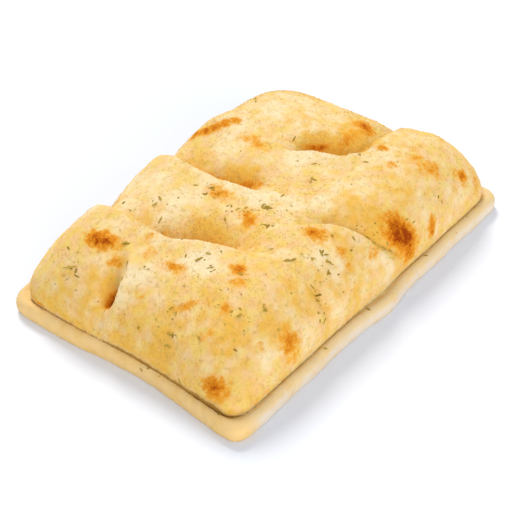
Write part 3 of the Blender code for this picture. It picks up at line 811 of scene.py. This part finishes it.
def baked_colour(tree, colours):
    """Nodes for the crust's colour: pale ridges with a painted highlight on the furrows' lips, golden
    hollows that are partly painted shade, lower walls painted in shade, spots, and rim and crease painted
    lighter along the sides than across the near end.
    """
    node, maths, attribute = makers(tree)

    def ranged(value, low, high, most=1.0):
        sockets = {"Value": value, "From Min": low, "From Max": high, "To Max": most}
        return node("ShaderNodeMapRange", sockets, interpolation_type="SMOOTHSTEP")

    def mixed(factor, under, over, blend="MIX"):
        return node("ShaderNodeMix", {"Factor": factor, "A": under, "B": over}, data_type="RGBA",
                    blend_type=blend)

    def weighted(name):
        total = 0.0
        for source, share in SHARES[name].items():
            total = maths("MULTIPLY_ADD", at[source], share, total)
        return total

    place = node("ShaderNodeTexCoord").outputs["Object"]
    along, _, height = node("ShaderNodeSeparateXYZ", {0: place}).outputs
    at = {name: attribute(name) for name in SURFACE_ATTRIBUTES}
    for name, (span, detail) in COLOUR_NOISE.items():
        at[name] = node("ShaderNodeTexNoise", {"Vector": place, "Scale": 1 / span, "Detail": detail})
    hues = node("ShaderNodeSeparateColor", {0: at["hues"].outputs["Color"]})
    at["warm"], at["light"], at["soaked"] = hues.outputs
    # Painted shade on the lower walls, strongest towards the near end.
    at["low"] = ranged(height, *SHADED_LOW_WALL)
    at["low near"] = maths("MULTIPLY", at["low"], ranged(along, *SHADED_NEAR_WALL))

    # Furrow bottoms darken towards brown: partly browned crust, partly painted shade.
    browning = maths("MAXIMUM", at["browning"], ranged(at["valley"], *FURROW_BROWNING_AND_SHADE))
    uneven = maths("ADD", maths("ADD", browning, weighted("browning")), -EVEN_BROWNING)
    brown = maths("MULTIPLY", uneven, ranged(browning, *SPOT_EDGE))
    colour = colours.straw
    # The pits step multiplies in painted shade of fine pits.
    for name, amount in (("dough", at["warm"]), ("pale", weighted("pale")), ("gold", weighted("gold")),
                         ("pits", at["pits"]), ("dust", at["dust"]), ("amber", brown), ("toast", brown),
                         ("char", brown)):
        colour = mixed(ranged(amount, *STEPS[name]), colour, getattr(colours, name),
                       blend="MULTIPLY" if name == "pits" else "MIX")

    near_end = ranged(along, *NEAR_END)
    # Painted light: the rim along the sides is paler and bluer than across the near end.
    rim = mixed(ranged(height, *STEPS["rim_top"]), colours.side_rim, colours.rim_top)
    rim = mixed(near_end, rim, colours.end_rim)
    rim = mixed(ranged(weighted("blotches"), *STEPS["blotches"]), rim, colour)
    colour = mixed(at["rim"], colour, rim)
    # Painted light lifts the crease's shade along the sides; across the near end the darker tan and brown
    # are partly browned crust and partly painted shade.
    crease = weighted("crease")
    tan = mixed(near_end, colours.crease, colours.end_crease)
    colour = mixed(ranged(crease, *STEPS["crease"]), colour, tan)
    return mixed(ranged(crease, *STEPS["dark_crease"]), colour, colours.dark_crease)


def crust_material(colours):
    """Baked crust with a fine dry grain."""
    material, tree, shader = new_material("baked crust", roughness=0.85, specular=0.04)
    node, _, _ = makers(tree)
    place = node("ShaderNodeTexCoord").outputs["Object"]
    relief = {}
    for kind, span, strength, distance in SKIN_BUMPS:
        texture = node("ShaderNodeTexNoise", {"Vector": place, "Scale": 1 / span}, noise_type=kind)
        relief["Normal"] = node("ShaderNodeBump", {
            "Height": texture, "Strength": strength, "Distance": distance, **relief})
    fill(tree, shader, {"Base Color": baked_colour(tree, colours), **CRUST_GLOW, **relief})
    return material


class FOCACCIA_OT_crust(bpy.types.Operator):
    """Build the baked crust in the place of the solid loaf"""
    bl_idname = "focaccia.crust"
    bl_label = "Baked crust"

    def execute(self, context):
        settings = context.scene.focaccia_crust
        crust = blank_loaf()
        shape_loaf(crust.data)
        paint_spots(crust.data)
        run_tree(crust, skin_tree(), {
            "Bump height": settings.bump_height, "Bump span": settings.bump_span,
            "Skin height": settings.skin_height, "Skin span": settings.skin_span,
            "Material": crust_material(settings)})
        hand_in(crust)
        return {"FINISHED"}


def needle_places():
    """Seeded draws: where each needle lies in plan, how long it is and which way it points."""
    draw = random.Random(NEEDLE_SEED)
    places = []
    for centre_x, centre_y, spread, count, longest in NEEDLE_GROUPS:
        length = longest
        for _ in range(count):
            stray_x, stray_y = draw.gauss(0, 1), draw.gauss(0, 1)
            x = centre_x + max(-FARTHEST_STRAY, min(FARTHEST_STRAY, stray_x)) * spread
            y = centre_y + max(-FARTHEST_STRAY, min(FARTHEST_STRAY, stray_y)) * spread
            heading = draw.uniform(0, math.pi)
            places.append((x, y, length, heading, draw.uniform(-STEEPEST_TILT, STEEPEST_TILT)))
            length = draw.uniform(SHORTEST_NEEDLE, longest)
    return places


def crumb_places():
    """Seeded draws for the crumbs round the needles, in the same form."""
    draw = random.Random(CRUMB_SEED)
    places = []
    for centre_x, centre_y, spread, count in CRUMB_DRIFTS:
        for _ in range(count):
            x, y = draw.gauss(centre_x, spread), draw.gauss(centre_y, spread)
            length = LARGEST_CRUMB * draw.uniform(SMALLEST_CRUMB_SHARE, 1)
            places.append((x, y, length, draw.uniform(0, math.pi), 0.0))
    return places


def needle_points():
    """A loose vertex above each needle's or crumb's place, with what the node tree lays there."""
    needles, crumbs = needle_places(), crumb_places()
    places = needles + crumbs
    mesh = bpy.data.meshes.new("rosemary")
    mesh.from_pydata([(x, y, ABOVE_LOAF) for x, y, *_ in places], [], [])
    draw = random.Random(NEEDLE_SEED + 1)
    for name, values in zip(("length", "heading", "tilt"), list(zip(*places))[2:]):
        store(mesh, name, values)
    store(mesh, "shade", [draw.random() for _ in places])
    breadths = [draw.uniform(*NEEDLE_BREADTH) for _ in needles]
    store(mesh, "breadth", breadths + [draw.uniform(*CRUMB_BREADTH) for _ in crumbs])
    return mesh


def needle_tree():
    """Geometry Nodes: drop each point on the crust and lay a rolled, pointed leaf along the surface."""
    tree, given = new_geometry_tree("rosemary needles", {
        "Crust": "Object", "Width": "Float", "Height": "Float", "Material": "Material"})
    node, maths, attribute = makers(tree)

    crust = node("GeometryNodeObjectInfo", {"Object": given["Crust"]}).outputs["Geometry"]
    down = node("GeometryNodeRaycast", {
        "Target Geometry": crust, "Ray Direction": (0, 0, -1), "Ray Length": 2 * ABOVE_LOAF}).outputs
    landed = node("GeometryNodeSetPosition", {
        "Geometry": given["Geometry"], "Position": down["Hit Position"]})

    leaf = node("GeometryNodeMeshUVSphere", {
        "Segments": NEEDLE_SIDES, "Rings": NEEDLE_RINGS, "Radius": 0.5})
    up, across, along = node("ShaderNodeSeparateXYZ", {0: node("GeometryNodeInputPosition")}).outputs
    bend = maths("MULTIPLY", maths("MULTIPLY", along, along), -LEAF_BEND)
    roll = maths("MULTIPLY", maths("ABSOLUTE", across), -LEAF_ROLL)
    height = maths("ADD", up, maths("ADD", bend, roll))
    shaped = node("ShaderNodeCombineXYZ", {"X": along, "Y": across, "Z": height})
    leaf = node("GeometryNodeSetPosition", {"Geometry": leaf, "Position": shaped})

    turn = node("ShaderNodeCombineXYZ", {"Y": attribute("tilt"), "Z": attribute("heading")})
    laid = node("FunctionNodeAlignRotationToVector", {
        "Rotation": node("FunctionNodeEulerToRotation", {0: turn}), "Vector": down["Hit Normal"]}, axis="Z")
    breadth = attribute("breadth")
    size = node("ShaderNodeCombineXYZ", {
        "X": attribute("length"), "Y": maths("MULTIPLY", given["Width"], breadth),
        "Z": maths("MULTIPLY", given["Height"], breadth)})
    facing = node("GeometryNodeCaptureAttribute", {"Geometry": landed})
    facing.capture_items.new("ROTATION", "Laid")
    fill(tree, facing, {"Laid": laid})
    strewn = node("GeometryNodeInstanceOnPoints", {
        "Points": facing, "Instance": leaf, "Rotation": facing.outputs["Laid"], "Scale": size})
    end_tree(tree, strewn, given["Material"])
    return tree


def needle_material(settings):
    """Dried rosemary: olive to brown, matt, with fine streaks."""
    material, tree, shader = new_material("dried rosemary", roughness=0.85, specular=0.02)
    node, maths, attribute = makers(tree)
    place = node("ShaderNodeTexCoord").outputs["Object"]
    streak = node("ShaderNodeTexNoise", {"Vector": place, "Scale": 1 / STREAK_SPAN, "Detail": 1.0})
    lighter = maths("MULTIPLY", maths("MULTIPLY", attribute("shade"), streak), STREAK_GAIN)
    colour = node("ShaderNodeMix", {"Factor": lighter, "A": settings.needle_dark,
                                    "B": settings.needle_light}, data_type="RGBA")
    bump = node("ShaderNodeBump", {"Height": streak, "Strength": 0.4, "Distance": STREAK_DEPTH})
    fill(tree, shader, {"Base Color": colour, "Normal": bump})
    return material


class FOCACCIA_OT_rosemary(bpy.types.Operator):
    """Strew the dried rosemary needles on the crust"""
    bl_idname = "focaccia.rosemary"
    bl_label = "Rosemary needles"

    def execute(self, context):
        settings = context.scene.focaccia_topping
        needles = new_piece("rosemary_needles", needle_points())
        run_tree(needles, needle_tree(), {
            "Crust": bpy.data.objects["crust"], "Width": settings.needle_width,
            "Height": settings.needle_height, "Material": needle_material(settings)})
        hand_in(needles)
        return {"FINISHED"}


def grain_tree():
    """Geometry Nodes: scatter small uneven grains over the crown, half sunk in the crust."""
    tree, given = new_geometry_tree("semolina grains", {
        "Density": "Float", "Size": "Float", "Seed": "Int", "Material": "Material"})
    node, maths, attribute = makers(tree)
    smallest, largest = GRAIN_STRETCH
    scattered = node("GeometryNodeDistributePointsOnFaces", {
        "Mesh": given["Geometry"], "Density": maths("MULTIPLY", attribute("grains"), given["Density"]),
        "Seed": given["Seed"]})
    stretch = node("FunctionNodeRandomValue", {"Min": smallest, "Max": largest, "Seed": given["Seed"]},
                   data_type="FLOAT_VECTOR")
    size = node("ShaderNodeVectorMath", {0: stretch, "Scale": given["Size"]}, operation="SCALE")
    spin = node("FunctionNodeRandomValue", {"Min": (0, 0, 0), "Max": GRAIN_SPIN}, data_type="FLOAT_VECTOR")
    ball = node("GeometryNodeMeshIcoSphere", {"Radius": 0.5, "Subdivisions": 1})
    strewn = node("GeometryNodeInstanceOnPoints", {
        "Points": scattered, "Instance": ball, "Rotation": spin, "Scale": size})
    end_tree(tree, strewn, given["Material"])
    return tree


def grain_material(colours, settings):
    """Grains in the crust's own colours, a little paler where it isn't browned."""
    material, tree, shader = new_material("semolina", roughness=0.7, specular=0.1)
    node, _, attribute = makers(tree)
    share = node("ShaderNodeMapRange", {"Value": attribute("browning"), "From Max": BROWNED_GRAINS,
                                        "To Min": settings.grain_share, "To Max": 0.0})
    paler = node("ShaderNodeMix", {"Factor": share, "A": baked_colour(tree, colours),
                                   "B": settings.grain_colour}, data_type="RGBA")
    fill(tree, shader, {"Base Color": paler})
    return material


def grain_amounts(mesh):
    """How thickly the grains lie at each vertex: in drifts on the crown, none on rim or underside."""
    x, y, z = rows(mesh.vertices, "co").T
    drifts = sum(share * waviness(x + shift, y, z, span) for span, share, shift in GRAIN_NOISE)
    rim = np.empty(len(mesh.vertices), dtype=np.float32)
    mesh.attributes["rim"].data.foreach_get("value", rim)
    return np.clip(EVEN_GRAINS + drifts, FEWEST_GRAINS, 1) * (1 - rim)


class FOCACCIA_OT_semolina(bpy.types.Operator):
    """Scatter the fine pale grains over the crown"""
    bl_idname = "focaccia.semolina"
    bl_label = "Semolina grains"

    def execute(self, context):
        settings = context.scene.focaccia_topping
        mesh = bpy.data.objects["crust"].data.copy()
        store(mesh, "grains", grain_amounts(mesh))
        grains = new_piece("semolina_grains", mesh)
        run_tree(grains, grain_tree(), {
            "Density": settings.grain_density, "Size": settings.grain_size, "Seed": settings.seed,
            "Material": grain_material(context.scene.focaccia_crust, settings)})
        hand_in(grains)
        return {"FINISHED"}


def add_floor(size):
    """White floor under the loaf."""
    bpy.ops.mesh.primitive_plane_add(size=size)
    floor = bpy.context.object
    floor.name = "floor"
    material, tree, shader = new_material("white floor", roughness=0.9, specular=0.1)
    fill(tree, shader, {"Base Color": FLOOR_COLOUR})
    floor.data.materials.append(material)


def add_lights(settings):
    """Bluish light from all round, a key from the far left corner and a low fill from the right."""
    world = bpy.data.worlds.new("studio")
    world.use_nodes = True
    fill(world.node_tree, world.node_tree.nodes["Background"],
         {"Color": SKY_COLOUR, "Strength": settings.sky})
    bpy.context.scene.world = world
    for name, (spread, colour, towards) in SUNS.items():
        light = bpy.data.objects.new(name, bpy.data.lights.new(name, "SUN"))
        light.data.energy = getattr(settings, name)
        light.data.angle = math.radians(spread)
        light.data.color = colour
        light.rotation_euler = Vector(towards).to_track_quat("Z", "Y").to_euler()
        bpy.context.scene.collection.objects.link(light)


def add_camera():
    """The photograph's view."""
    camera = bpy.data.objects.new("camera", bpy.data.cameras.new("camera"))
    camera.data.sensor_width = SENSOR
    camera.data.lens = CAMERA_LENS
    camera.data.clip_start = 0.01
    camera.matrix_world = Matrix.Translation(CAMERA_TARGET)
    for angle, axis in ((CAMERA_HEADING, "Z"), (math.pi / 2 - CAMERA_RISE, "X"), (CAMERA_ROLL, "Z")):
        camera.matrix_world @= Matrix.Rotation(angle, 4, axis)
    camera.matrix_world @= Matrix.Translation((0, 0, CAMERA_DISTANCE))
    bpy.context.scene.collection.objects.link(camera)
    bpy.context.scene.camera = camera


class FOCACCIA_OT_stage(bpy.types.Operator):
    """Set up the floor, the light and the photograph's camera"""
    bl_idname = "focaccia.stage"
    bl_label = "Photo stage"

    def execute(self, context):
        settings = context.scene.focaccia_stage
        add_floor(settings.floor_size)
        add_lights(settings)
        add_camera()
        context.scene.view_settings.view_transform = "Standard"
        return {"FINISHED"}


class FOCACCIA_PT_pieces(bpy.types.Panel):
    """Buttons that build the focaccia piece by piece"""
    bl_label = "Rosemary focaccia"
    bl_space_type = "VIEW_3D"
    bl_region_type = "UI"
    bl_category = "Focaccia"

    def draw(self, context):
        for operator in OPERATORS:
            self.layout.operator(operator.bl_idname)


SETTINGS = {"focaccia_crust": CrustSettings, "focaccia_topping": ToppingSettings,
            "focaccia_stage": StageSettings}
OPERATORS = (FOCACCIA_OT_crust, FOCACCIA_OT_rosemary, FOCACCIA_OT_semolina, FOCACCIA_OT_stage)
CLASSES = (*SETTINGS.values(), *OPERATORS, FOCACCIA_PT_pieces)


def register():
    """Register the settings, operators and panel."""
    for item in CLASSES:
        bpy.utils.register_class(item)
    for name, group in SETTINGS.items():
        setattr(bpy.types.Scene, name, PointerProperty(type=group))


def unregister():
    """Undo register, in the opposite order."""
    for name in SETTINGS:
        delattr(bpy.types.Scene, name)
    for item in reversed(CLASSES):
        bpy.utils.unregister_class(item)


def main():
    """Build every piece and the stage."""
    register()
    bpy.ops.focaccia.crust()
    bpy.ops.focaccia.rosemary()
    bpy.ops.focaccia.semolina()
    bpy.ops.focaccia.stage()


if __name__ == "__main__":
    main()
